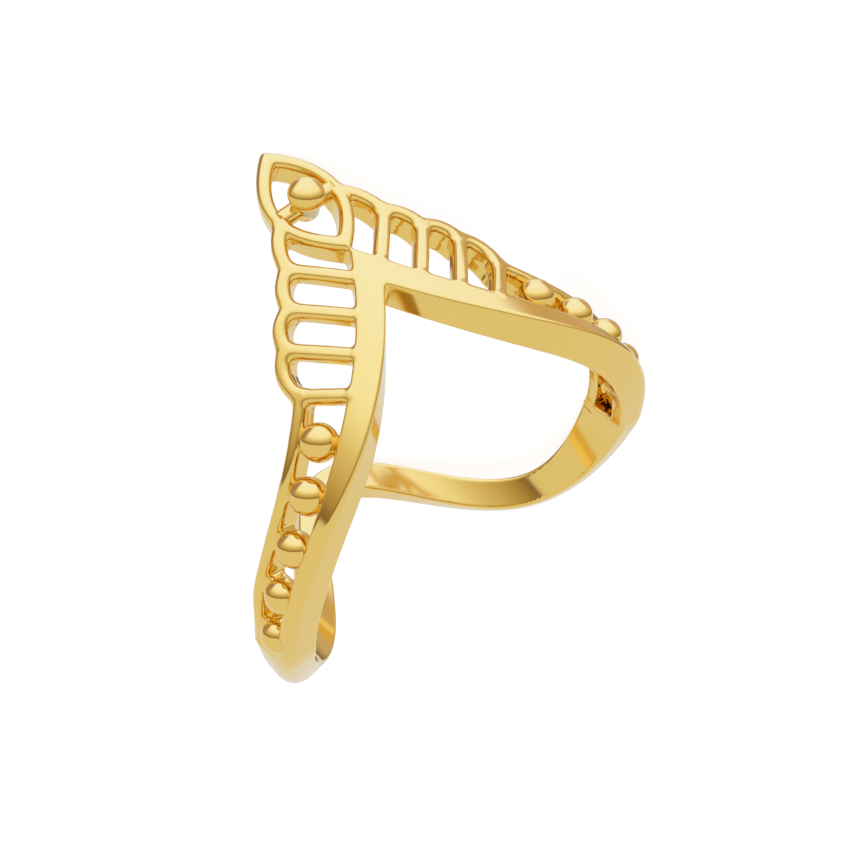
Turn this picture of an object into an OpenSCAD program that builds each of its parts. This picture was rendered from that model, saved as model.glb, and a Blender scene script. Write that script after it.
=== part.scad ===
// Chevron ring: one soldered piece of polished gold.
// The ring is drawn unrolled on its outer face: u runs round the finger from the front, z along the finger.
// The rail and shank are as deep as the wall.
// The openwork is swept in thinner strips, a little below their face.

/* [Ring] */
// Bore for the finger
bore_d = 17; // [15:0.1:21]
// Depth of the metal from the bore to the outer face
wall = 1.6; // [1.3:0.05:2]

/* [Openwork] */
// Depth of the metal of the leaf frame and of both rims
open_depth = 1.2; // [1:0.05:1.4]
// Distance of its outer face below the rail's outer face
open_inset = 0.1; // [0:0.02:0.2]

/* [V rail] */
// Height of the notch above the floor line that the two arms sweep towards
arm_drop = 9.8; // [8:0.1:12]
// Middle of the rail below the notch, at the front
rail_start = 1.0; // [0.8:0.05:1.3]
// Turn round the finger over which an arm falls to a third of its height, in degrees
arm_turn = 32; // [26:0.5:38]
// Width of the rail at the front
rail_w = 1.2; // [1:0.05:1.4]
// Width of the rail beside the last bead
rail_end_w = 0.75; // [0.6:0.05:1]
// Softening of the rail's long edges
rail_edge = 0.16; // [0.08:0.02:0.25]

/* [Shank] */
// Middle of the shank below the notch, at the sides
shank_drop = 8.5; // [7.8:0.05:10.5]
// Rise of the hump behind the finger
hump_rise = 7.5; // [2:0.1:8]
// Spread of the hump to each side, in degrees
hump_turn = 22.2; // [18:0.1:26]
// Width of the shank at the sides
shank_w = 2.4; // [2:0.05:2.8]
// Width of the shank behind the finger
back_w = 1.5; // [1.1:0.05:1.8]

/* [Leaf frame] */
// Length of the leaf frame, from the notch to its tip
leaf_l = 5.8; // [5:0.1:7]
// Width of the leaf frame
leaf_w = 3.55; // [3:0.05:4]
// Width of the leaf frame's metal
leaf_band = 0.56; // [0.4:0.02:0.7]
// Diameter of the domed bead in the leaf
dome_d = 1.66; // [1.3:0.02:1.8]
// Thickness of the domed bead
dome_h = 1.1; // [0.9:0.05:1.4]
// Height of its middle above the openwork's face
dome_lift = 0.35; // [0.1:0.05:0.5]
// Diameter of the post that carries it
post_d = 1.2; // [0.8:0.05:1.25]
// Depth of the post's foot below the openwork's face
post_depth = 0.8; // [0.6:0.05:1]
// Diameter of the round bars that hold the post
holder_d = 0.65; // [0.4:0.05:0.7]

/* [Scalloped edge] */
// Scallops on each arm
scallops = 4; // [3:1:4]
// Distance from one cross bar to the next, along the rail
bar_pitch = 1.71; // [1.5:0.01:1.8]
// Angle of the first bar from the front, at the rail
bar_first = 4.1; // [3.8:0.1:5]
// Width of a cross bar
bar_w = 0.58; // [0.4:0.02:0.7]
// Depth of a cross bar
bar_depth = 0.8; // [0.6:0.05:1]
// Distance from the rail's edge to the first valley between two scallops
scallop_reach = 2.97; // [2.6:0.01:3.2]
// Further reach of each later valley, times its number squared
reach_grows = 0.04; // [0:0.005:0.06]
// Slant of the cross bars, in degrees
bar_slant = 46; // [42:1:50]
// Height of the first scallop's arc
scallop_rise = 0.24; // [0.1:0.02:0.3]
// Further height of each later scallop's arc, times its number squared
rise_grows = 0.02; // [0:0.002:0.03]
// Width of the scalloped rim
rim_w = 0.64; // [0.5:0.02:0.7]

/* [Bead row] */
// Beads on each arm
beads = 5; // [3:1:5]
// Diameter of the first bead
bead_d = 1.56; // [1.3:0.02:1.7]
// Diameter of the last bead
bead_end_d = 1.36; // [1.1:0.02:1.5]
// Angle of the first bead from the front
bead_first = 35.5; // [35:0.5:39]
// Distance from one bead to the next, along the outer rail
bead_pitch = 2.47; // [2.2:0.01:2.55]
// Height of the bead centres above the middle of the openwork's depth
bead_lift = 0.3; // [0:0.05:0.4]
// Diameter of the solder necks beside each bead
neck_d = 0.9; // [0.5:0.05:1]
// Width of the outer rail
outer_w = 0.56; // [0.4:0.02:0.7]
// Middle of the outer rail below the notch, where the scallops end
outer_start = 3.45; // [3.2:0.05:3.9]
// Middle of the outer rail below the notch, where it would level out
outer_drop = 7.75; // [7.4:0.05:8.4]
// Turn over which the outer rail levels out, in degrees
outer_turn = 26; // [22:0.5:32]

/* [Resting place] */
// Lean back from the finger hole pointing straight up, in degrees
rest_lean = 194.2; // [190:0.1:202]
// Roll onto one side, in degrees
rest_roll = 46.8; // [40:0.1:48]
// Turn on the table that brings the front to face forwards, in degrees
rest_turn = -169.5; // [-180:0.1:-150]

/* [Hidden] */
r_in = bore_d / 2;
r_out = r_in + wall;
// Outer face and inner face of the openwork, and the middle of its depth
r_top = r_out - open_inset;
r_low = r_top - open_depth;
r_mid = (r_top + r_low) / 2;
// Degrees round the ring for each millimetre along its outer face
turn = 180 / (PI * r_out);
// Angle where the outer rail leaves the last scallop, and where the openwork ends
outer_from = 31.8;
openwork_end = 92;
// Angles between which the rail narrows, the shank narrows, and the shank's lower outer corner rounds off
rail_narrows = [22, 58];
shank_narrows = [85, 135];
shank_rounds = [30, 90];
// Angle where the outer rail starts to turn towards the shank's upper edge
outer_joins = 76;
// Share of half the shank's width that its rounding takes, and how full that rounding is
round_share = 0.55;
round_full = 0.7;
// Largest share of a strip's width that its softening takes
edge_share = 0.3;
// Place along the leaf, as a share of its length, where the first scallop meets it
leaf_meet = 0.45;
// Steps of a strip and of the whole band
band_steps = 108;
rail_steps = 18;
arc_steps = 6;
leaf_steps = 28;
neck_sides = 6;
bead_sides = 12;
// Distance by which strips run into each other where they are soldered
lap = 0.12;
// Softening and crown of a strip's outer face
strip_edge = 0.16;
strip_crown = 0.05;
// Turn over which rail, outer rail and shank run together
joint_turn = 7;
// Metal at the tips of the leaf's opening
leaf_tip = leaf_band * 1.45;
// Sides of the post and of the bars that hold it
post_sides = 20;
holder_sides = 12;
// Steps of the domed bead's outline
dome_steps = 10;

// Smooth change from 0 to 1 between two angles
function ease(a, from, to) =
    let (t = min(1, max(0, (a - from) / (to - from))))
    t * t * (3 - 2 * t);

// Middle line of the V rail, of the shank and of the outer rail, by angle from the front
function rail_z(a) = -arm_drop + (arm_drop - rail_start) * exp(-a / arm_turn);
function shank_z(a) = -shank_drop + hump_rise * exp(-pow((180 - a) / hump_turn, 2) / 2);
function outer_z(a) = -outer_drop + (outer_drop - outer_start) * exp(-(a - outer_from) / outer_turn);

// The rail runs into the shank where the openwork ends
function joined(a) = ease(a, openwork_end - joint_turn, openwork_end + joint_turn);
function band_z(a) = rail_z(a) * (1 - joined(a)) + shank_z(a) * joined(a);
function rail_width(a) = rail_w + (rail_end_w - rail_w) * ease(a, rail_narrows[0], rail_narrows[1]);
function shank_width(a) = shank_w + (back_w - shank_w) * ease(a, shank_narrows[0], shank_narrows[1]);
function band_width(a) = rail_width(a) * (1 - joined(a)) + shank_width(a) * joined(a);
// Length along the band for each millimetre round the ring, and the band's extent along the finger
function slope(a) =
    let (step = 0.5, climb = (band_z(a + step) - band_z(a)) / step * turn)
    sqrt(1 + climb * climb);
function band_span(a) = band_width(a) * slope(a);
// Middle of the outer rail, which ends along the shank's upper edge
function outer_line(a) =
    let (j = ease(a, outer_joins, openwork_end))
    outer_z(a) * (1 - j) + (shank_z(a) + shank_width(a) / 2 - outer_w / 2) * j;

// A point of the unrolled ring, bent round the finger
function bent(u, z, r) = [r * sin(u * turn), -r * cos(u * turn), z];

// Section of the band at an angle from the front: flat-faced at the V, rounded outside at the shank
function band_section(side_a) =
    let (
        a = abs(side_a),
        z = band_z(a),
        h = band_span(a) / 2,
        round = h * round_share - rail_edge,
        low = rail_edge + round * ease(a, shank_rounds[0], shank_rounds[1]),
        high = rail_edge + round * joined(a),
        rest = 1 - round_full
    ) [
        [r_in, z - h + rail_edge],
        [r_in + rail_edge, z - h],
        [r_out - low, z - h],
        [r_out - low * rest, z - h + low * rest],
        [r_out, z - h + low],
        [r_out, z + h - high],
        [r_out - high * rest, z + h - high * rest],
        [r_out - high, z + h],
        [r_in + rail_edge, z + h],
        [r_in, z + h - rail_edge]
    ];

// Section across an openwork strip: share of the way across, distance from the ring's axis
function strip_section(width, depth) =
    let (e = min(strip_edge, width * edge_share), f = e / width, low = r_top - depth)
    [
        [0, low],
        [0, r_top - e],
        [f, r_top],
        [0.5, r_top + strip_crown],
        [1 - f, r_top],
        [1, r_top - e],
        [1, low]
    ];

// Unit direction across a path at one of its points
function across(path, i) =
    let (
        n = len(path),
        d = path[min(n - 1, i + 1)] - path[max(0, i - 1)]
    ) [-d[1], d[0]] / norm(d);

// A solid through rings of points, capped at its ends or closed on itself
module loft(rings, closed = false) {
    n = len(rings);
    m = len(rings[0]);
    points = [for (ring = rings) each ring];
    walls = [for (i = [0 : n - (closed ? 1 : 2)]) for (j = [0 : m - 1])
        [i * m + j, i * m + (j + 1) % m, ((i + 1) % n) * m + (j + 1) % m, ((i + 1) % n) * m + j]];
    caps = closed ? [] : [[for (j = [m - 1 : -1 : 0]) j], [for (j = [0 : m - 1]) (n - 1) * m + j]];
    polyhedron(points, concat(walls, caps), convexity = 10);
}

// Rings of a strip of metal between two edges, each a list of [u, z] points on the unrolled ring
function between(left, right, depth = open_depth) =
    [for (i = [0 : len(left) - 1])
        let (gap = right[i] - left[i])
        [for (s = strip_section(norm(gap), depth))
            let (q = left[i] + gap * s[0])
            bent(q[0], q[1], s[1])]];

// Rings of a strip of metal of one width along a path
function strip(path, width, depth = open_depth) =
    let (half = [for (i = [0 : len(path) - 1]) across(path, i) * width / 2])
    between(path - half, path + half, depth);

// Points of an arc from one point to another that rises to the right of its direction
function arc_path(from, to, rise) =
    let (d = to - from, n = [d[1], -d[0]] / norm(d))
    [for (i = [0 : arc_steps])
        let (t = i / arc_steps)
        from + d * t + n * rise * 4 * t * (1 - t)];

// Point of the rail's outer edge at an angle
function rail_top(a) = [a / turn, rail_z(a) + band_span(a) / 2];
// Angle of each bar at the rail, one pitch along it from the bar before
function bar_angle(k) = k == 0 ? bar_first
    : let (a = bar_angle(k - 1)) a + bar_pitch * turn / slope(a);
function bar_root(k) = rail_top(bar_angle(k));
// Valleys of the scalloped rim, at the outer ends of the bars; the last one meets the outer rail
function valley_reach(k) = scallop_reach + reach_grows * k * k - rim_w / 2;
function valley(k) = k == scallops - 1
    ? [outer_from / turn, outer_line(outer_from)]
    : bar_root(k) + valley_reach(k) * [cos(bar_slant), sin(bar_slant)];
leaf_side = [leaf_w / 2 - leaf_band / 2, leaf_l * leaf_meet];

// Rings of the inner rail and the shank, all round the finger
band_rings = [for (i = [0 : band_steps - 1])
    let (a = -180 + i * 360 / band_steps)
    [for (s = band_section(a)) bent(a / turn, s[1], s[0])]];

// Rings of the thin outer rail, which sinks into the shank at its end
outer_rings = strip([for (i = [0 : rail_steps])
    let (a = outer_from + (openwork_end + joint_turn - outer_from) * i / rail_steps)
    [a / turn, outer_line(a) - outer_w * ease(a, openwork_end, openwork_end + joint_turn)]], outer_w);

// Rings of each scallop, from the valley below it to the valley above it or to the leaf frame
scallop_rings = [for (k = [0 : scallops - 1])
    let (above = k == 0 ? leaf_side : valley(k - 1))
    strip(arc_path(valley(k), above, scallop_rise + rise_grows * k * k), rim_w)];

// Rings of each cross bar, from the rail to a valley
bar_rings = [for (k = [0 : scallops - 1])
    let (out = valley(k), root = bar_root(k), d = (out - root) / norm(out - root))
    strip([root - d * 2 * lap, (root + out) / 2, out + d * lap], bar_w, bar_depth)];

// Point of a leaf outline, from its tip round by its right side
function leaf_point(share, length, width) =
    let (t = 360 * share)
    [width / 2 * sin(t) * abs(sin(t)), leaf_l / 2 + length / 2 * cos(t)];

// Rings of the leaf frame, between its opening and its outline
leaf_rings = between(
    [for (i = [0 : leaf_steps - 1])
        leaf_point(i / leaf_steps, leaf_l - 2 * leaf_tip, leaf_w - 2 * leaf_band)],
    [for (i = [0 : leaf_steps - 1]) leaf_point(i / leaf_steps, leaf_l, leaf_w)]);

// Angle of each bead, one pitch along the outer rail from the bead before
function bead_angle(k) = k == 0 ? bead_first
    : let (a = bead_angle(k - 1), climb = (outer_line(a + 1) - outer_line(a)) * turn)
        a + bead_pitch * turn / sqrt(1 + climb * climb);

// Place of each bead between the rails: [angle, diameter, lower end of its neck, upper end]
bead_rows = [for (k = [0 : beads - 1])
    let (a = bead_angle(k))
    [a, bead_d + (bead_end_d - bead_d) * k / (beads - 1),
        rail_z(a) + band_span(a) / 2 - lap, outer_line(a) - outer_w / 2 + lap]];

// Lean and roll with which the ring lies on a table, and its place there
function lying(p) =
    let (
        c = [cos(rest_lean), cos(rest_roll), cos(rest_turn)],
        s = [sin(rest_lean), sin(rest_roll), sin(rest_turn)],
        q = [p[0], p[1] * c[0] - p[2] * s[0], p[1] * s[0] + p[2] * c[0]],
        w = [q[0] * c[1] + q[2] * s[1], q[1], q[2] * c[1] - q[0] * s[1]]
    ) [w[0] * c[2] - w[1] * s[2], w[0] * s[2] + w[1] * c[2], w[2]];
right_arm = [for (rings = concat([outer_rings], scallop_rings)) each rings];
skin = [for (ring = concat(band_rings, leaf_rings, right_arm)) for (p = ring)
    each [p, [-p[0], p[1], p[2]]]];
lying_skin = [for (p = skin) lying(p)];
dome_at = [0, -r_top - dome_lift, leaf_l / 2];
lying_dome = lying(dome_at);
// Reach of the domed bead from its middle, along an axis of the table
function dome_reach(axis) =
    let (n = lying([0, -1, 0])[axis])
    norm([dome_h / 2 * n, dome_d / 2 * sqrt(1 - n * n)]);
function low(axis) = min([lying_dome[axis] - dome_reach(axis), for (p = lying_skin) p[axis]]);
function high(axis) = max([lying_dome[axis] + dome_reach(axis), for (p = lying_skin) p[axis]]);
rest_place = [-(low(0) + high(0)) / 2, -(low(1) + high(1)) / 2, -low(2)];

// Inner rail and shank in one closed band
module band() {
    color("gold")
    loft(band_rings, closed = true);
}

// Thin outer rail beside the beads
module outer_rail() {
    color("gold")
    loft(outer_rings);
}

// Scalloped rim from the leaf frame to the outer rail
module scalloped_rim() {
    color("gold")
    for (rings = scallop_rings) loft(rings);
}

// Cross bars from the rail to the valleys of the rim
module cross_bars() {
    color("gold")
    for (rings = bar_rings) loft(rings);
}

// Pointed oval frame outside the point of the V
module leaf_frame() {
    color("gold")
    loft(leaf_rings, closed = true);
}

// Domed bead on its post, with the short bars that hold it
module centre_bead() {
    span = leaf_w - leaf_band;
    color("gold") {
        translate(dome_at) rotate([90, 0, 0]) {
            rotate_extrude($fn = post_sides)
                polygon([for (i = [0 : dome_steps]) let (t = i / dome_steps * 180 - 90)
                    [dome_d / 2 * cos(t), dome_h / 2 * sin(t)]]);
            translate([0, 0, -dome_lift - post_depth])
                cylinder(d = post_d, h = dome_lift + post_depth, $fn = post_sides);
        }
        translate([0, -r_top + post_depth / 2, leaf_l / 2]) rotate([0, 90, 0])
            cylinder(d = holder_d, h = span, center = true, $fn = holder_sides);
    }
}

// Round beads, each on a solder neck between the rails
module bead_row() {
    color("gold")
    for (row = bead_rows) {
        u = row[0] / turn;
        translate(bent(u, (row[2] + row[3]) / 2, r_mid + bead_lift)) sphere(d = row[1], $fn = bead_sides);
        hull() {
            translate(bent(u, row[2], r_mid)) sphere(d = neck_d, $fn = neck_sides);
            translate(bent(u, row[3], r_mid)) sphere(d = neck_d, $fn = neck_sides);
        }
    }
}

// Everything on one arm of the V
module arm() {
    outer_rail();
    scalloped_rim();
    cross_bars();
    bead_row();
}

// The whole ring, as it lies on a table
module ring() {
    translate(rest_place)
    rotate([rest_lean, rest_roll, rest_turn]) {
        band();
        arm();
        mirror([1, 0, 0]) arm();
        leaf_frame();
        centre_bead();
    }
}

ring();
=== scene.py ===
import math

import bpy
import numpy as np
from mathutils import Matrix, Vector


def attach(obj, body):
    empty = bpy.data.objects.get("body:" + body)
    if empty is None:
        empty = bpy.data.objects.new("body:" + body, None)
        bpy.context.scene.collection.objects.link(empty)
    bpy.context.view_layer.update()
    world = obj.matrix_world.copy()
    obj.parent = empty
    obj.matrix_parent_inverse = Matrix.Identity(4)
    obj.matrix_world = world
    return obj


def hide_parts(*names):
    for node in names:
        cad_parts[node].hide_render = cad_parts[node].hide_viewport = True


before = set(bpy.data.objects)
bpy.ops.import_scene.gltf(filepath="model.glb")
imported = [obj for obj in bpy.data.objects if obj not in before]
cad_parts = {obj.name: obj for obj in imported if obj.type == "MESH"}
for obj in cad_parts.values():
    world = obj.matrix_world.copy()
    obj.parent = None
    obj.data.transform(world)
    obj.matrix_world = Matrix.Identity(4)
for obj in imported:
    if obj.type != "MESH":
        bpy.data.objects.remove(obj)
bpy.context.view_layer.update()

# Sizes of the ring, in millimetres and degrees, as in the part's source
BORE_RADIUS = 8.5
WALL = 1.6
OUTER_RADIUS = BORE_RADIUS + WALL
OPEN_DEPTH = 1.2
OPEN_INSET = 0.1
OPEN_FACE = OUTER_RADIUS - OPEN_INSET
OPEN_BACK = OPEN_FACE - OPEN_DEPTH
OPEN_MIDDLE = (OPEN_FACE + OPEN_BACK) / 2
TURN = 180 / (math.pi * OUTER_RADIUS)
ARM_DROP = 9.8
RAIL_START = 1.0
ARM_TURN = 32
RAIL_WIDTH = 1.2
RAIL_END_WIDTH = 0.75
RAIL_NARROWS = (22, 58)
SHANK_DROP = 8.5
HUMP_RISE = 7.5
HUMP_TURN = 22.2
SHANK_WIDTH = 2.4
BACK_WIDTH = 1.5
SHANK_NARROWS = (85, 135)
OPENWORK_END = 92
JOINT_TURN = 7
JOINT_END = OPENWORK_END + JOINT_TURN
LEAF_LENGTH = 5.8
LEAF_WIDTH = 3.55
LEAF_MEET = 0.45
DOME_LIFT = 0.35
POST_SIZE = 1.2
POST_DEPTH = 0.8
SCALLOPS = 4
BAR_FIRST = 4.1
BAR_PITCH = 1.71
BAR_SLANT = math.radians(46)
SCALLOP_REACH = 2.97
REACH_GROWS = 0.04
SCALLOP_RISE = 0.24
RISE_GROWS = 0.02
RIM_WIDTH = 0.64
OUTER_WIDTH = 0.56
OUTER_FROM = 31.8
OUTER_START = 3.45
OUTER_DROP = 7.75
OUTER_TURN = 26
OUTER_JOINS = 76
BEADS = 5
BEAD_FIRST = 35.5
BEAD_PITCH = 2.47
BEAD_LIFT = 0.3

# Sizes that only the polished ring has, or that differ a little from the solid's
LEAF_BAND = 0.6
LEAF_TIP = 0.85
BAR_WIDTH = 0.66
BAR_DEPTH = 0.66
DOME_SIZE = 1.54
DOME_HEIGHT = 1.18
HOLDER_SIZE = 0.8
HOLDER_FLARE = 0.1
HOLDER_REACH = 0.5
HOLDER_BALL = 0.1
BEAD_SIZE = 1.6
BEAD_END_SIZE = 1.53
BEAD_SHIFT = 0.06
BEAD_SHIFT_STEP = -0.09
BEAD_BAR = 0.02
NECK_WIDTH = 0.86
NECK_DROP = 0.16

# How it lies: lean, roll and turn from the finger hole pointing straight up
LEAN = math.radians(194.2)
ROLL = math.radians(46.8)
FACING = math.radians(-169.5)

# Softness of the points of the V and of the leaf, fillets where strips meet, and roundness of the strips
APEX_SOFT = 0.5
APEX_SHIFT = 0.3
TIP_SOFT = 0.1
TIP_SHIFT = 0.04
TIP_FILLET = 0.04
SLOT_FILLET = 0.34
JOIN_FILLET = 0.22
FRAME_FILLET = 0.06
BALL_FILLET = 0.12
PILLOW_DROP = 0.12
PILLOW_REACH = 0.28
FACE_LIFT = 0.05
FACE_EDGE = 0.2
BACK_EDGE = 0.14
NECK_EDGE = 0.25
NECK_LAP = 0.05
RAIL_EDGE = 0.2
ROUNDING = 0.32
ROUNDING_GROWS = (62, 112)
LOW_ROUNDS = (30, 90)
HIGH_ROUNDS = (84, 103)
FOOT_EDGE = 0.1
FOOT_ROUND = 0.03

# How the outer rail runs into the shank
WINDOW_END = 3.0
OUTER_SINKS = 0.25
SINKS_FROM = OPENWORK_END + 2
OUTER_THINS = 0.6
THINS_FROM = OPENWORK_END + 3
RAIL_LAP = 0.1
BACK_DROPS = 0.27
FACE_DIPS = 0.02
FACE_DIPS_OVER = (55, 90)
CLOSE_JOIN = 0.12
JOIN_TIGHTENS = (82, 91)

# Steps in degrees over which a line's climb is taken
SLOPE_STEP = 0.5
BEAD_CLIMB_STEP = 1.0

# Fineness of the meshes, and the room that the body's grid leaves round the ring
MESH_STEP = 0.105
WALL_STEP = MESH_STEP * 0.9
ROOM_BELOW = 1.3
ROOM_ABOVE = 0.3
ROOM_INSIDE = 0.25
ROOM_OUTSIDE = 0.25
NO_METAL = 9.0
FIT_ROUNDS = 4
FIT_STEP = 0.004
FIT_REACH = 0.05
FLATTEST = 0.2
DOME_STEPS = 28
DOME_SIDES = 48
DOME_ASIDE = (0.3, 0.5, 0.81)
BALL_STEPS = 45
BALL_SIDES = 36
FLARE_POWER = 6.0
PER_METRE = 1000


# The lines that the strips of metal follow round the finger
def ease(a, start, end):
    t = np.clip((a - start) / (end - start), 0, 1)
    return t * t * (3 - 2 * t)


def rail_height(a):
    return -ARM_DROP + (ARM_DROP - RAIL_START) * np.exp(-a / ARM_TURN)


def shank_height(a):
    return -SHANK_DROP + HUMP_RISE * np.exp(-(((180 - a) / HUMP_TURN) ** 2) / 2)


def outer_height(a):
    return -OUTER_DROP + (OUTER_DROP - OUTER_START) * np.exp(-(a - OUTER_FROM) / OUTER_TURN)


def rail_width(a):
    return RAIL_WIDTH + (RAIL_END_WIDTH - RAIL_WIDTH) * ease(a, *RAIL_NARROWS)


def shank_width(a):
    return SHANK_WIDTH + (BACK_WIDTH - SHANK_WIDTH) * ease(a, *SHANK_NARROWS)


def climb_of(line, a, step):
    return (line(a + step) - line(a - step)) / (2 * step) * TURN


def slope(line, a):
    climb = climb_of(line, a, SLOPE_STEP)
    return np.sqrt(1 + climb * climb)


def band_edge(a, side, joint):
    """Lower or upper edge of the rail that turns into the shank."""
    j = ease(a, OPENWORK_END - joint, OPENWORK_END + joint)
    rail = rail_height(a) + side * rail_width(a) * slope(rail_height, a) / 2
    shank = shank_height(a) + side * shank_width(a) * slope(shank_height, a) / 2
    return rail * (1 - j) + shank * j


def low_line(a):
    return band_edge(a, -1, JOINT_TURN)


def high_line(a):
    return band_edge(a, 1, WINDOW_END)


def outer_line(a):
    j = ease(a, OUTER_JOINS, OPENWORK_END)
    top = shank_height(a) + shank_width(a) / 2 - OUTER_WIDTH / 2
    return outer_height(a) * (1 - j) + top * j


def rail_top(a):
    return rail_height(a) + rail_width(a) * slope(rail_height, a) / 2


# Places on the unrolled ring where the bars and the beads go
def bar_places():
    """Roots of the cross bars on the rail, and the valleys of the scalloped rim at their outer ends."""
    angles = [BAR_FIRST]
    for _ in range(SCALLOPS - 1):
        angles.append(angles[-1] + BAR_PITCH * TURN / slope(rail_height, angles[-1]))
    roots = [np.array([a / TURN, rail_top(a)]) for a in angles]
    way = np.array([math.cos(BAR_SLANT), math.sin(BAR_SLANT)])
    valleys = [
        root + (SCALLOP_REACH + REACH_GROWS * k * k - RIM_WIDTH / 2) * way
        for k, root in enumerate(roots[:-1])
    ]
    valleys.append(np.array([OUTER_FROM / TURN, outer_line(OUTER_FROM)]))
    return roots, valleys


def bead_places():
    """For each bead the middle of its gap, the way across, half the gap, its own place and its diameter."""
    places = []
    a = BEAD_FIRST
    for k in range(BEADS):
        low = rail_top(a)
        high = outer_line(a) - OUTER_WIDTH * slope(outer_line, a) / 2
        climb = climb_of(outer_line, a, BEAD_CLIMB_STEP)
        steep = math.hypot(1, climb)
        gap = np.array([a / TURN, (low + high) / 2])
        way = np.array([-climb, 1]) / steep
        place = gap + way * (BEAD_SHIFT + BEAD_SHIFT_STEP * k)
        size = BEAD_SIZE + (BEAD_END_SIZE - BEAD_SIZE) * k / (BEADS - 1)
        places.append((gap, way, (high - low) / 2 / steep, place, size))
        a += BEAD_PITCH * TURN / slope(outer_line, a)
    return places


bar_roots, valleys = bar_places()
bead_spots = bead_places()
leaf_side = np.array([LEAF_WIDTH / 2 - LEAF_BAND / 2, LEAF_LENGTH * LEAF_MEET])


# Distances on the unrolled ring: u runs round the finger, z along it
def soft_least(a, b, soft):
    h = np.clip(0.5 + 0.5 * (b - a) / soft, 0, 1)
    return b + (a - b) * h - soft * h * (1 - h)


def soft_most(a, b, soft):
    return -soft_least(-a, -b, soft)


def to_segment(u, z, start, end):
    d = end - start
    t = np.clip(((u - start[0]) * d[0] + (z - start[1]) * d[1]) / (d @ d), 0, 1)
    return np.hypot(u - start[0] - d[0] * t, z - start[1] - d[1] * t)


def to_arc(u, z, start, end, rise):
    chord = end - start
    half = np.linalg.norm(chord) / 2
    along = chord / (2 * half)
    out = np.array([along[1], -along[0]])
    radius = (half * half + rise * rise) / (2 * rise)
    centre = (start + end) / 2 - out * (radius - rise)
    x = (u - centre[0]) * along[0] + (z - centre[1]) * along[1]
    y = (u - centre[0]) * out[0] + (z - centre[1]) * out[1]
    spread = math.asin(half / radius)
    on_arc = np.abs(np.arctan2(x, y)) < spread
    ends = np.hypot(np.abs(x) - half, y - (radius - rise))
    return np.where(on_arc, np.abs(np.hypot(x, y) - radius), ends)


def to_leaf(u, z, length, width):
    share = (z - LEAF_LENGTH / 2) / (length / 2)
    steep = 2 * width * share / length
    return (u - width / 2 * (1 - share * share)) / np.sqrt(1 + steep * steep)


def leaf_frame(u, z):
    tip = np.sqrt(u * u + TIP_SOFT**2) - TIP_SHIFT
    outside = to_leaf(tip, z, LEAF_LENGTH, LEAF_WIDTH)
    inside = to_leaf(tip, z, LEAF_LENGTH - 2 * LEAF_TIP, LEAF_WIDTH - 2 * LEAF_BAND)
    return soft_most(outside, -inside, TIP_FILLET)


def outer_rail(u, z, a):
    sunk = OUTER_SINKS * ease(a, SINKS_FROM, JOINT_END)
    rail = np.abs(z - outer_line(a) + sunk) / slope(outer_line, a) - OUTER_WIDTH / 2
    rail = np.maximum(rail, valleys[-1][0] - u - RAIL_LAP)
    return np.maximum(rail, u - JOINT_END / TURN)


def scallops(u, z):
    rim = np.full(u.shape, NO_METAL)
    for k in range(SCALLOPS):
        upper = leaf_side if k == 0 else valleys[k - 1]
        rise = SCALLOP_RISE + RISE_GROWS * k * k
        rim = np.minimum(rim, to_arc(u, z, valleys[k], upper, rise) - RIM_WIDTH / 2)
    return rim


def cross_bars(u, z):
    bars = np.full(u.shape, NO_METAL)
    for root, valley in zip(bar_roots, valleys):
        bars = np.minimum(bars, to_segment(u, z, root, valley) - BAR_WIDTH / 2)
    return bars


def bead_necks(u, z):
    necks = np.full(u.shape, NO_METAL)
    for gap, way, half, _, _ in bead_spots:
        reach = way * (half + NECK_LAP)
        necks = np.minimum(necks, to_segment(u, z, gap - reach, gap + reach) - NECK_WIDTH / 2)
    return necks


def flat_shape(u, z):
    """Everything that depends only on the place on the unrolled ring."""
    side = np.abs(u)
    leaf = leaf_frame(side, z)
    rail = outer_rail(side, z, side * TURN)
    rim = scallops(side, z)
    framed = soft_least(soft_least(rim, leaf, JOIN_FILLET), rail, JOIN_FILLET)
    barred = soft_least(rim, cross_bars(side, z), SLOT_FILLET)
    barred = soft_least(soft_least(barred, leaf, JOIN_FILLET), rail, JOIN_FILLET)
    a = np.sqrt((side * TURN) ** 2 + APEX_SOFT**2) - APEX_SOFT * APEX_SHIFT
    widens = ease(a, *ROUNDING_GROWS)
    rounding = ROUNDING * (rail_width(a) * (1 - widens) + shank_width(a) * widens)
    thinned = OUTER_THINS * ease(a, THINS_FROM, JOINT_END)
    return {
        "frames": framed,
        "open": barred,
        "necks": bead_necks(side, z),
        "face": OPEN_FACE + FACE_LIFT - FACE_DIPS * ease(a, *FACE_DIPS_OVER) - thinned,
        "back": OPEN_BACK - BACK_DROPS * ease(a, OUTER_JOINS, OPENWORK_END) + thinned,
        "low": (low_line(a) - z) / slope(low_line, a),
        "high": (z - high_line(a)) / slope(high_line, a),
        "low_edge": RAIL_EDGE + rounding * ease(a, *LOW_ROUNDS),
        "high_edge": RAIL_EDGE + rounding * ease(a, *HIGH_ROUNDS),
        "join": CLOSE_JOIN + (JOIN_FILLET - CLOSE_JOIN) * (1 - ease(a, *JOIN_TIGHTENS)),
    }


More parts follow.
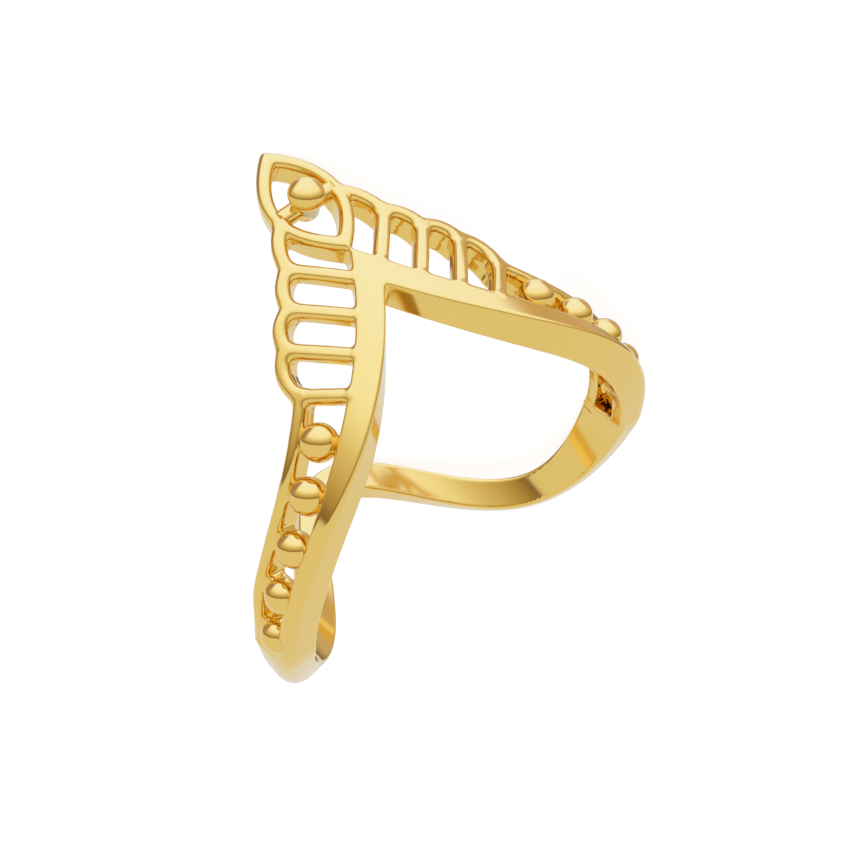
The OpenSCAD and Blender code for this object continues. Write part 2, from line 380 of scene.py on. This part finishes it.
def metal(flat, r):
    """Distance to the surface of the ring at distance r from its axis, below zero in the metal."""
    depth = np.clip(-flat["open"] / PILLOW_REACH, 0, 1)
    face = r - (flat["face"] - PILLOW_DROP * (1 - depth) ** 2)
    bars = soft_most(flat["open"], face, FACE_EDGE)
    bars = soft_most(bars, OPEN_FACE - BAR_DEPTH - r, BACK_EDGE)
    frames = soft_most(flat["frames"], face, FACE_EDGE)
    frames = soft_most(frames, flat["back"] - r, BACK_EDGE)
    necks = soft_most(flat["necks"], r - (OPEN_FACE - NECK_DROP), NECK_EDGE)
    necks = soft_most(necks, OPEN_BACK + NECK_DROP - r, NECK_EDGE)
    work = soft_least(bars, frames, FRAME_FILLET)
    work = soft_least(work, necks, JOIN_FILLET)
    outside = r - OUTER_RADIUS
    band = np.maximum(
        soft_most(flat["low"], outside, flat["low_edge"]),
        soft_most(flat["high"], outside, flat["high_edge"]),
    )
    band = soft_most(band, BORE_RADIUS - r, BACK_EDGE)
    return soft_least(work, band, flat["join"])


def metal_at(points):
    return metal(flat_shape(points[:, 0], points[:, 1]), points[:, 2])


def surface_net(shape, start, step):
    """Corner points and quads of the zero surface of a grid of distances, closed along its first axis."""
    values = np.concatenate([shape, shape[:1]])
    cells = tuple(n - 1 for n in values.shape)
    total = np.zeros(cells + (3,))
    count = np.zeros(cells)

    def part(offset):
        return values[tuple(slice(o, o + n) for o, n in zip(offset, cells))]

    for axis in range(3):
        others = [i for i in range(3) if i != axis]
        for p in (0, 1):
            for q in (0, 1):
                low = [0, 0, 0]
                low[others[0]] = p
                low[others[1]] = q
                high = list(low)
                high[axis] = 1
                first = part(low)
                last = part(high)
                crossed = (first < 0) != (last < 0)
                share = np.where(crossed, first / np.where(crossed, first - last, 1), 0)
                for i in range(3):
                    total[..., i] += crossed * (share if i == axis else low[i])
                count += crossed
    used = count > 0
    number = np.full(cells, -1)
    number[used] = np.arange(used.sum())
    points = (np.argwhere(used) + total[used] / count[used][:, None]) * step + start
    quads = []
    for axis in range(3):
        b = (axis + 1) % 3
        c = (axis + 2) % 3
        low = [slice(0, n) for n in cells]
        high = list(low)
        high[axis] = slice(1, cells[axis] + 1)
        crossed = (values[tuple(low)] < 0) != (values[tuple(high)] < 0)
        spots = np.argwhere(crossed)
        inside = values[tuple(spots.T)] < 0
        ring = []
        for db, dc in ((1, 1), (0, 1), (0, 0), (1, 0)):
            at = spots.copy()
            at[:, b] -= db
            at[:, c] -= dc
            at[:, 0] %= cells[0]
            ring.append(number[tuple(at.T)])
        ring = np.stack(ring, 1)
        quads.append(np.where(inside[:, None], ring, ring[:, ::-1]))
    return points, np.concatenate(quads)


# The way from the unrolled ring to the place where it lies
def turned(about, angle):
    c = math.cos(angle)
    s = math.sin(angle)
    if about == "x":
        return np.array([[1, 0, 0], [0, c, -s], [0, s, c]])
    if about == "y":
        return np.array([[c, 0, s], [0, 1, 0], [-s, 0, c]])
    return np.array([[c, -s, 0], [s, c, 0], [0, 0, 1]])


LYING = turned("z", FACING) @ turned("y", ROLL) @ turned("x", LEAN)


def lying_place():
    """Where the middle of the bore lies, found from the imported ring's own extents."""
    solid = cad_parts["ring"].data
    places = np.empty(len(solid.vertices) * 3)
    solid.vertices.foreach_get("co", places)
    upright = places.reshape(-1, 3) * PER_METRE @ LYING
    low = upright.min(0)
    high = upright.max(0)
    return LYING @ np.array([(low[0] + high[0]) / 2, high[1] - OUTER_RADIUS, high[2] - LEAF_LENGTH])


PLACE = lying_place()


def bent(u, z, r):
    angle = np.radians(u * TURN)
    return np.stack([r * np.sin(angle), -r * np.cos(angle), z], -1)


def laid(points):
    """Points of the upright ring, in millimetres, as metres where it lies."""
    return (points @ LYING.T + PLACE) / PER_METRE


def mesh_object(name, points, faces, normals=None):
    mesh = bpy.data.meshes.new(name)
    mesh.from_pydata(points.tolist(), [], faces)
    mesh.shade_smooth()
    mesh.update()
    if normals is not None:
        mesh.normals_split_custom_set_from_vertices(normals.tolist())
    piece = bpy.data.objects.new(name, mesh)
    bpy.context.scene.collection.objects.link(piece)
    return piece


def body_grid():
    """First corner and step of a grid that holds the whole ring, and the distances on it."""
    half_round = math.pi * OUTER_RADIUS
    steps = round(2 * half_round / MESH_STEP)
    step = np.array([2 * half_round / steps, MESH_STEP, WALL_STEP])
    start = np.array([-half_round, -ARM_DROP - ROOM_BELOW, BORE_RADIUS - ROOM_INSIDE])
    high = LEAF_LENGTH + ROOM_ABOVE - start[1]
    deep = WALL + ROOM_INSIDE + ROOM_OUTSIDE
    u = start[0] + step[0] * np.arange(steps)
    z = start[1] + step[1] * np.arange(int(high / step[1]))
    r = start[2] + step[2] * np.arange(int(deep / step[2]) + 1)
    uu, zz = np.meshgrid(u, z, indexing="ij")
    flat = {key: value[..., None] for key, value in flat_shape(uu, zz).items()}
    return start, step, metal(flat, r[None, None, :])


def fitted(points):
    """Points moved onto the true surface, with the direction in which the distance grows there."""
    for _ in range(FIT_ROUNDS):
        here = metal_at(points)
        rises = []
        for axis in range(3):
            moved = points.copy()
            moved[:, axis] += FIT_STEP
            rises.append(metal_at(moved) - here)
        way = np.stack(rises, 1) / FIT_STEP
        pull = here / np.maximum((way * way).sum(1), FLATTEST)
        points = points - np.clip(pull, -FIT_REACH, FIT_REACH)[:, None] * way
    return points, way


def build_body():
    """Rail, shank, leaf frame, scallops, bars, outer rail and necks as one smooth skin."""
    start, step, distances = body_grid()
    points, quads = surface_net(distances, start, step)
    points, way = fitted(points)
    angle = np.radians(points[:, 0] * TURN)
    round_way = np.stack([np.cos(angle), np.sin(angle), 0 * angle], 1)
    out_way = np.stack([np.sin(angle), -np.cos(angle), 0 * angle], 1)
    normals = (
        round_way * (way[:, :1] * OUTER_RADIUS / points[:, 2:])
        + np.array([[0, 0, 1]]) * way[:, 1:2]
        + out_way * way[:, 2:]
    )
    normals /= np.linalg.norm(normals, axis=1)[:, None]
    placed = laid(bent(points[:, 0], points[:, 1], points[:, 2]))
    return mesh_object("ring_body", placed, quads.tolist(), normals @ LYING.T)


def turned_piece(name, profile, centre, axis, aside, sides):
    """A lathe-turned piece: profile rows are the distance along the axis and the radius there.

    The way aside is any but the axis, and says only where each circle starts.
    """
    side = np.cross(axis, aside)
    side /= np.linalg.norm(side)
    other = np.cross(axis, side)
    angle = np.arange(sides) * 2 * math.pi / sides
    circle = np.cos(angle)[:, None] * side + np.sin(angle)[:, None] * other
    points = [centre + axis * profile[0][0]]
    for along, radius in profile[1:-1]:
        points.extend(centre + axis * along + circle * radius)
    points.append(centre + axis * profile[-1][0])
    last = len(points) - 1
    rows = len(profile) - 2
    faces = [[0, 1 + (j + 1) % sides, 1 + j] for j in range(sides)]
    for i in range(rows - 1):
        here = 1 + i * sides
        for j in range(sides):
            n = (j + 1) % sides
            faces.append([here + j, here + n, here + sides + n, here + sides + j])
    top = 1 + (rows - 1) * sides
    faces.extend([top + j, top + (j + 1) % sides, last] for j in range(sides))
    return mesh_object(name, laid(np.array(points)), faces)


def build_dome():
    """The domed bead and its post, in the middle of the leaf frame."""
    radius = DOME_SIZE / 2
    high = DOME_HEIGHT / 2
    post = POST_SIZE / 2
    foot = -DOME_LIFT - POST_DEPTH
    profile = [
        (foot, 0),
        (foot, post - FOOT_EDGE),
        (foot + FOOT_ROUND, post - FOOT_ROUND),
        (foot + FOOT_EDGE, post),
    ]
    first = -math.acos(post / radius)
    for i in range(DOME_STEPS):
        lift = first + (math.pi / 2 - first) * i / DOME_STEPS
        profile.append((high * math.sin(lift), radius * math.cos(lift)))
    profile.append((high, 0))
    centre = bent(np.array(0.0), np.array(LEAF_LENGTH / 2), np.array(OPEN_FACE + DOME_LIFT))
    forwards = np.array([0.0, -1.0, 0.0])
    return turned_piece("leaf_dome", profile, centre, forwards, DOME_ASIDE, DOME_SIDES)


# Balls on round bars, turned once and set out by a node tree
def socket_id(tree, name):
    return next(s.identifier for s in tree.interface.items_tree if s.name == name and s.in_out == "INPUT")


def ball_tree(finish):
    tree = bpy.data.node_groups.new("balls on round bars", "GeometryNodeTree")
    tree.interface.new_socket("Places", in_out="INPUT", socket_type="NodeSocketGeometry")
    for name in ("Ball radius", "Bar radius", "Bar flare", "Reach"):
        tree.interface.new_socket(name, in_out="INPUT", socket_type="NodeSocketFloat")
    tree.interface.new_socket("Balls", in_out="OUTPUT", socket_type="NodeSocketGeometry")
    nodes = tree.nodes
    links = tree.links

    def add(kind, **settings):
        node = nodes.new(kind)
        for key, value in settings.items():
            setattr(node, key, value)
        return node

    def maths(operation, first, second=None):
        node = add("ShaderNodeMath", operation=operation)
        for i, value in enumerate((first, second)):
            if value is None:
                continue
            if isinstance(value, (int, float)):
                node.inputs[i].default_value = value
            else:
                links.new(value, node.inputs[i])
        return node.outputs[0]

    given = add("NodeGroupInput")
    reach = given.outputs["Reach"]
    below = add("ShaderNodeCombineXYZ")
    above = add("ShaderNodeCombineXYZ")
    links.new(maths("MULTIPLY", reach, -1.0), below.inputs["Z"])
    links.new(reach, above.inputs["Z"])
    axis = add("GeometryNodeCurvePrimitiveLine")
    links.new(below.outputs[0], axis.inputs["Start"])
    links.new(above.outputs[0], axis.inputs["End"])
    fine = add("GeometryNodeResampleCurve")
    fine.inputs["Count"].default_value = BALL_STEPS
    links.new(axis.outputs[0], fine.inputs["Curve"])
    place = add("ShaderNodeSeparateXYZ")
    links.new(add("GeometryNodeInputPosition").outputs[0], place.inputs[0])
    height = maths("ABSOLUTE", place.outputs["Z"])
    ball = maths("MULTIPLY", given.outputs["Ball radius"], given.outputs["Ball radius"])
    ball = maths("SUBTRACT", ball, maths("MULTIPLY", height, height))
    ball = maths("SQRT", maths("MAXIMUM", ball, 0.0))
    end = maths("POWER", maths("DIVIDE", height, reach), FLARE_POWER)
    bar = maths("ADD", given.outputs["Bar radius"], maths("MULTIPLY", given.outputs["Bar flare"], end))
    widest = add("ShaderNodeMath", operation="SMOOTH_MAX")
    links.new(ball, widest.inputs[0])
    links.new(bar, widest.inputs[1])
    widest.inputs[2].default_value = BALL_FILLET / PER_METRE
    circle = add("GeometryNodeCurvePrimitiveCircle")
    circle.inputs["Resolution"].default_value = BALL_SIDES
    circle.inputs["Radius"].default_value = 1.0
    skin = add("GeometryNodeCurveToMesh")
    links.new(fine.outputs[0], skin.inputs["Curve"])
    links.new(circle.outputs[0], skin.inputs["Profile Curve"])
    links.new(widest.outputs[0], skin.inputs["Scale"])
    skin.inputs["Fill Caps"].default_value = True
    across = add("GeometryNodeInputNamedAttribute", data_type="FLOAT_VECTOR")
    across.inputs["Name"].default_value = "across"
    size = add("GeometryNodeInputNamedAttribute", data_type="FLOAT")
    size.inputs["Name"].default_value = "size"
    aim = add("FunctionNodeAlignRotationToVector", axis="Z")
    links.new(across.outputs[0], aim.inputs["Vector"])
    copies = add("GeometryNodeInstanceOnPoints")
    links.new(given.outputs["Places"], copies.inputs["Points"])
    links.new(skin.outputs[0], copies.inputs["Instance"])
    links.new(aim.outputs[0], copies.inputs["Rotation"])
    links.new(size.outputs[0], copies.inputs["Scale"])
    real = add("GeometryNodeRealizeInstances")
    links.new(copies.outputs[0], real.inputs[0])
    smooth = add("GeometryNodeSetShadeSmooth")
    links.new(real.outputs[0], smooth.inputs["Geometry"])
    paint = add("GeometryNodeSetMaterial")
    paint.inputs["Material"].default_value = finish
    links.new(smooth.outputs[0], paint.inputs["Geometry"])
    out = add("NodeGroupOutput")
    links.new(paint.outputs[0], out.inputs["Balls"])
    return tree


def set_out(name, tree, places, across, sizes, **values):
    """Runs the tree on a set of places and keeps the result as a plain mesh; values are in millimetres."""
    mesh = bpy.data.meshes.new(name + "_places")
    mesh.from_pydata(laid(np.array(places)).tolist(), [], [])
    ways = np.array(across) @ LYING.T
    mesh.attributes.new("across", "FLOAT_VECTOR", "POINT").data.foreach_set("vector", ways.ravel())
    mesh.attributes.new("size", "FLOAT", "POINT").data.foreach_set("value", sizes)
    carrier = bpy.data.objects.new(name + "_places", mesh)
    bpy.context.scene.collection.objects.link(carrier)
    modifier = carrier.modifiers.new("balls", "NODES")
    modifier.node_group = tree
    for label, value in values.items():
        modifier[socket_id(tree, label.replace("_", " "))] = value / PER_METRE
    bpy.context.view_layer.update()
    graph = bpy.context.evaluated_depsgraph_get()
    made = bpy.data.meshes.new_from_object(carrier.evaluated_get(graph))
    carrier.modifiers.remove(modifier)
    bpy.data.objects.remove(carrier)
    piece = bpy.data.objects.new(name, made)
    bpy.context.scene.collection.objects.link(piece)
    return piece


def build_beads(tree):
    """The five round beads between the rails of each arm."""
    places = []
    across = []
    sizes = []
    for side in (-1, 1):
        for _, way, _, place, size in bead_spots:
            turn = math.radians(place[0] * TURN)
            places.append(bent(side * place[0], place[1], OPEN_MIDDLE + BEAD_LIFT))
            across.append([side * way[0] * math.cos(turn), way[0] * math.sin(turn), way[1]])
            sizes.append(size / BEAD_SIZE)
    return set_out(
        "bead_rows",
        tree,
        places,
        across,
        sizes,
        Ball_radius=BEAD_SIZE / 2,
        Bar_radius=BEAD_BAR,
        Bar_flare=0.0,
        Reach=BEAD_SIZE / 2,
    )


def build_holders(tree):
    """The two short round bars that hold the domed bead in the leaf frame."""
    half = LEAF_WIDTH / 2 - LEAF_BAND
    places = []
    across = []
    for side in (-1, 1):
        middle = side * (half + POST_SIZE / 2) / 2
        places.append(bent(middle, LEAF_LENGTH / 2, OPEN_FACE - POST_DEPTH / 2))
        angle = math.radians(middle * TURN)
        across.append([math.cos(angle), math.sin(angle), 0])
    return set_out(
        "dome_holders",
        tree,
        places,
        across,
        [1.0, 1.0],
        Ball_radius=HOLDER_BALL,
        Bar_radius=HOLDER_SIZE / 2,
        Bar_flare=HOLDER_FLARE,
        Reach=HOLDER_REACH,
    )


# Polished yellow gold
GOLD_TONES = ((0.925, 0.65, 0.16, 1), (0.945, 0.67, 0.18, 1))
GOLD_COAT = 0.5
COAT_HAZE = 0.06
BLUSH_SCALE = 180.0
BLUSH_DETAIL = 3.0
POLISH_SCALE = 900.0
POLISH_DETAIL = 4.0
POLISH_HAZE = (0.07, 0.13)


def polished_gold():
    gold = bpy.data.materials.new("polished gold")
    gold.use_nodes = True
    nodes = gold.node_tree.nodes
    links = gold.node_tree.links
    shader = nodes["Principled BSDF"]
    shader.inputs["Metallic"].default_value = 1.0
    shader.inputs["Coat Weight"].default_value = GOLD_COAT
    shader.inputs["Coat Roughness"].default_value = COAT_HAZE
    place = nodes.new("ShaderNodeTexCoord")

    def clouds(scale, detail):
        noise = nodes.new("ShaderNodeTexNoise")
        noise.inputs["Scale"].default_value = scale
        noise.inputs["Detail"].default_value = detail
        links.new(place.outputs["Object"], noise.inputs["Vector"])
        return noise.outputs["Fac"]

    tone = nodes.new("ShaderNodeMix")
    tone.data_type = "RGBA"
    tone.inputs["A"].default_value = GOLD_TONES[0]
    tone.inputs["B"].default_value = GOLD_TONES[1]
    links.new(clouds(BLUSH_SCALE, BLUSH_DETAIL), tone.inputs["Factor"])
    links.new(tone.outputs["Result"], shader.inputs["Base Color"])
    haze = nodes.new("ShaderNodeMapRange")
    haze.inputs["To Min"].default_value = POLISH_HAZE[0]
    haze.inputs["To Max"].default_value = POLISH_HAZE[1]
    links.new(clouds(POLISH_SCALE, POLISH_DETAIL), haze.inputs["Value"])
    links.new(haze.outputs["Result"], shader.inputs["Roughness"])
    return gold


gold = polished_gold()
balls = ball_tree(gold)
body = build_body()
dome = build_dome()
body.data.materials.append(gold)
dome.data.materials.append(gold)
rows = build_beads(balls)
holders = build_holders(balls)
for piece in (body, dome, rows, holders):
    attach(piece, "root")
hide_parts("ring")

# Pale floor, in metres, that glows with a painted pool of light strongest near the middle
FLOOR_REACH = 2.0
FLOOR_TONE = (0.3, 0.3, 0.33, 1)
FLOOR_ROUGHNESS = 0.9
PAINTED_GLOW_TONE = (1, 1, 1, 1)
PAINTED_GLOW_FADES = (0.15, 1.2)
PAINTED_GLOW = (0.82, 0.5)


def painted_glow_floor():
    """Matt white with a painted glow, strongest near the middle and fading far away into grey."""
    glowing_floor = bpy.data.materials.new("pale floor with painted glow")
    glowing_floor.use_nodes = True
    nodes = glowing_floor.node_tree.nodes
    links = glowing_floor.node_tree.links
    shader = nodes["Principled BSDF"]
    shader.inputs["Base Color"].default_value = FLOOR_TONE
    shader.inputs["Roughness"].default_value = FLOOR_ROUGHNESS
    shader.inputs["Specular IOR Level"].default_value = 0.0
    # Painted light: the floor glows white through emission, though it is no lamp
    shader.inputs["Emission Color"].default_value = PAINTED_GLOW_TONE
    place = nodes.new("ShaderNodeTexCoord")
    away = nodes.new("ShaderNodeVectorMath")
    away.operation = "LENGTH"
    links.new(place.outputs["Object"], away.inputs[0])
    # Painted pool of light: the glow is strongest near the middle and weaker far away
    fade = nodes.new("ShaderNodeMapRange")
    fade.interpolation_type = "SMOOTHSTEP"
    fade.inputs["From Min"].default_value = PAINTED_GLOW_FADES[0]
    fade.inputs["From Max"].default_value = PAINTED_GLOW_FADES[1]
    fade.inputs["To Min"].default_value = PAINTED_GLOW[0]
    fade.inputs["To Max"].default_value = PAINTED_GLOW[1]
    links.new(away.outputs["Value"], fade.inputs["Value"])
    links.new(fade.outputs["Result"], shader.inputs["Emission Strength"])
    return glowing_floor


def build_floor():
    corners = np.array([[-1, -1, 0], [1, -1, 0], [1, 1, 0], [-1, 1, 0]])
    piece = mesh_object("floor", corners * FLOOR_REACH, [[0, 1, 2, 3]])
    piece.data.materials.append(painted_glow_floor())
    piece.visible_glossy = False
    return piece


floor = build_floor()

# The camera of the photograph, in the ring's own directions and in outer radii from the middle of the bore
RIGHT = np.array([0.7613310, -0.1144546, -0.6381813])
UP = np.array([0.5184600, -0.4835746, 0.7052338])
TOWARDS = np.array([-0.3893255, -0.8677878, -0.3088202])
SHIFT = (-0.4038416, 0.2148416)
DISTANCE = 10.0
FOCUS = 2322.9
PICTURE_WIDTH = 850
SENSOR_WIDTH = 36.0
NEAREST = 0.001
FARTHEST = 10.0


def photo_camera():
    data = bpy.data.cameras.new("camera")
    data.sensor_width = SENSOR_WIDTH
    data.lens = FOCUS / PICTURE_WIDTH * SENSOR_WIDTH
    data.clip_start = NEAREST
    data.clip_end = FARTHEST
    camera = bpy.data.objects.new("camera", data)
    bpy.context.scene.collection.objects.link(camera)
    view = np.eye(4)
    view[:3, 0] = LYING @ RIGHT
    view[:3, 1] = LYING @ UP
    view[:3, 2] = LYING @ TOWARDS
    view[:3, 3] = laid(OUTER_RADIUS * (-SHIFT[0] * RIGHT - SHIFT[1] * UP + TOWARDS * DISTANCE))
    camera.matrix_world = Matrix(view.tolist())
    return camera


bpy.context.scene.camera = photo_camera()

# Soft studio light: an even grey on one side, and on the other a screen that grows brighter from its edge
SCREEN_WAY = (0.176, -0.776, -0.607)
STUDIO_GREY = (0.78, 0.78, 0.78)
SCREEN_TONES = (
    # how far towards the middle of the screen, tone
    (-0.012, (0.78, 0.78, 0.78)),
    (0.0, (0.13, 0.08, 0.06)),
    (0.04, (0.29, 0.20, 0.12)),
    (0.10, (0.41, 0.32, 0.19)),
    (0.19, (0.53, 0.44, 0.27)),
    (0.27, (0.63, 0.55, 0.42)),
    (0.40, (0.75, 0.71, 0.65)),
    (0.52, (0.90, 0.95, 1.10)),
    (0.66, (1.0, 1.13, 1.65)),
    (0.85, (1.0, 1.17, 1.95)),
    (1.0, (1.0, 1.23, 2.35)),
)
STUDIO_PATCHES = (
    # azimuth from the front, elevation, angle where it is whole, angle where it ends, tone
    (95, -38, 16, 38, (0.42, 0.28, 0.24)),
    (-85, -60, 12, 30, (0.62, 0.48, 0.38)),
)


def studio_world():
    world = bpy.data.worlds.new("studio")
    world.use_nodes = True
    nodes = world.node_tree.nodes
    links = world.node_tree.links
    way = nodes.new("ShaderNodeTexCoord").outputs["Generated"]

    def towards(middle):
        dot = nodes.new("ShaderNodeVectorMath")
        dot.operation = "DOT_PRODUCT"
        dot.inputs[1].default_value = middle
        links.new(way, dot.inputs[0])
        return dot.outputs["Value"]

    share = nodes.new("ShaderNodeMapRange")
    share.inputs["From Min"].default_value = -1.0
    links.new(towards(SCREEN_WAY), share.inputs["Value"])
    ramp = nodes.new("ShaderNodeValToRGB")
    stops = ramp.color_ramp.elements
    stops[0].color = (*STUDIO_GREY, 1)
    stops[1].color = (*SCREEN_TONES[-1][1], 1)
    for place, light in SCREEN_TONES[:-1]:
        stops.new((place + 1) / 2).color = (*light, 1)
    links.new(share.outputs["Result"], ramp.inputs["Fac"])
    tone = ramp.outputs["Color"]
    for azimuth, elevation, whole, end, light in STUDIO_PATCHES:
        turn = math.radians(azimuth)
        rise = math.radians(elevation)
        middle = (math.sin(turn) * math.cos(rise), -math.cos(turn) * math.cos(rise), math.sin(rise))
        soft = nodes.new("ShaderNodeMapRange")
        soft.interpolation_type = "SMOOTHSTEP"
        soft.inputs["From Min"].default_value = math.cos(math.radians(end))
        soft.inputs["From Max"].default_value = math.cos(math.radians(whole))
        links.new(towards(middle), soft.inputs["Value"])
        mix = nodes.new("ShaderNodeMix")
        mix.data_type = "RGBA"
        mix.inputs["B"].default_value = (*light, 1)
        links.new(tone, mix.inputs["A"])
        links.new(soft.outputs["Result"], mix.inputs["Factor"])
        tone = mix.outputs["Result"]
    links.new(tone, nodes["Background"].inputs["Color"])
    return world


# Soft lamp over the floor, in metres
LAMP_PLACE = (0.0, -0.1, 0.5)
LAMP_AIM = (0, 0, 0.008)
LAMP_SIZE = 0.5
LAMP_POWER = 0.62


def soft_lamp():
    data = bpy.data.lights.new("high soft light", "AREA")
    data.size = LAMP_SIZE
    data.energy = LAMP_POWER
    lamp = bpy.data.objects.new("high soft light", data)
    lamp.location = LAMP_PLACE
    way = Vector(LAMP_AIM) - Vector(LAMP_PLACE)
    lamp.rotation_euler = way.to_track_quat("-Z", "Y").to_euler()
    lamp.visible_glossy = False
    bpy.context.scene.collection.objects.link(lamp)


soft_lamp()
bpy.context.scene.world = studio_world()
bpy.context.scene.view_settings.view_transform = "Standard"
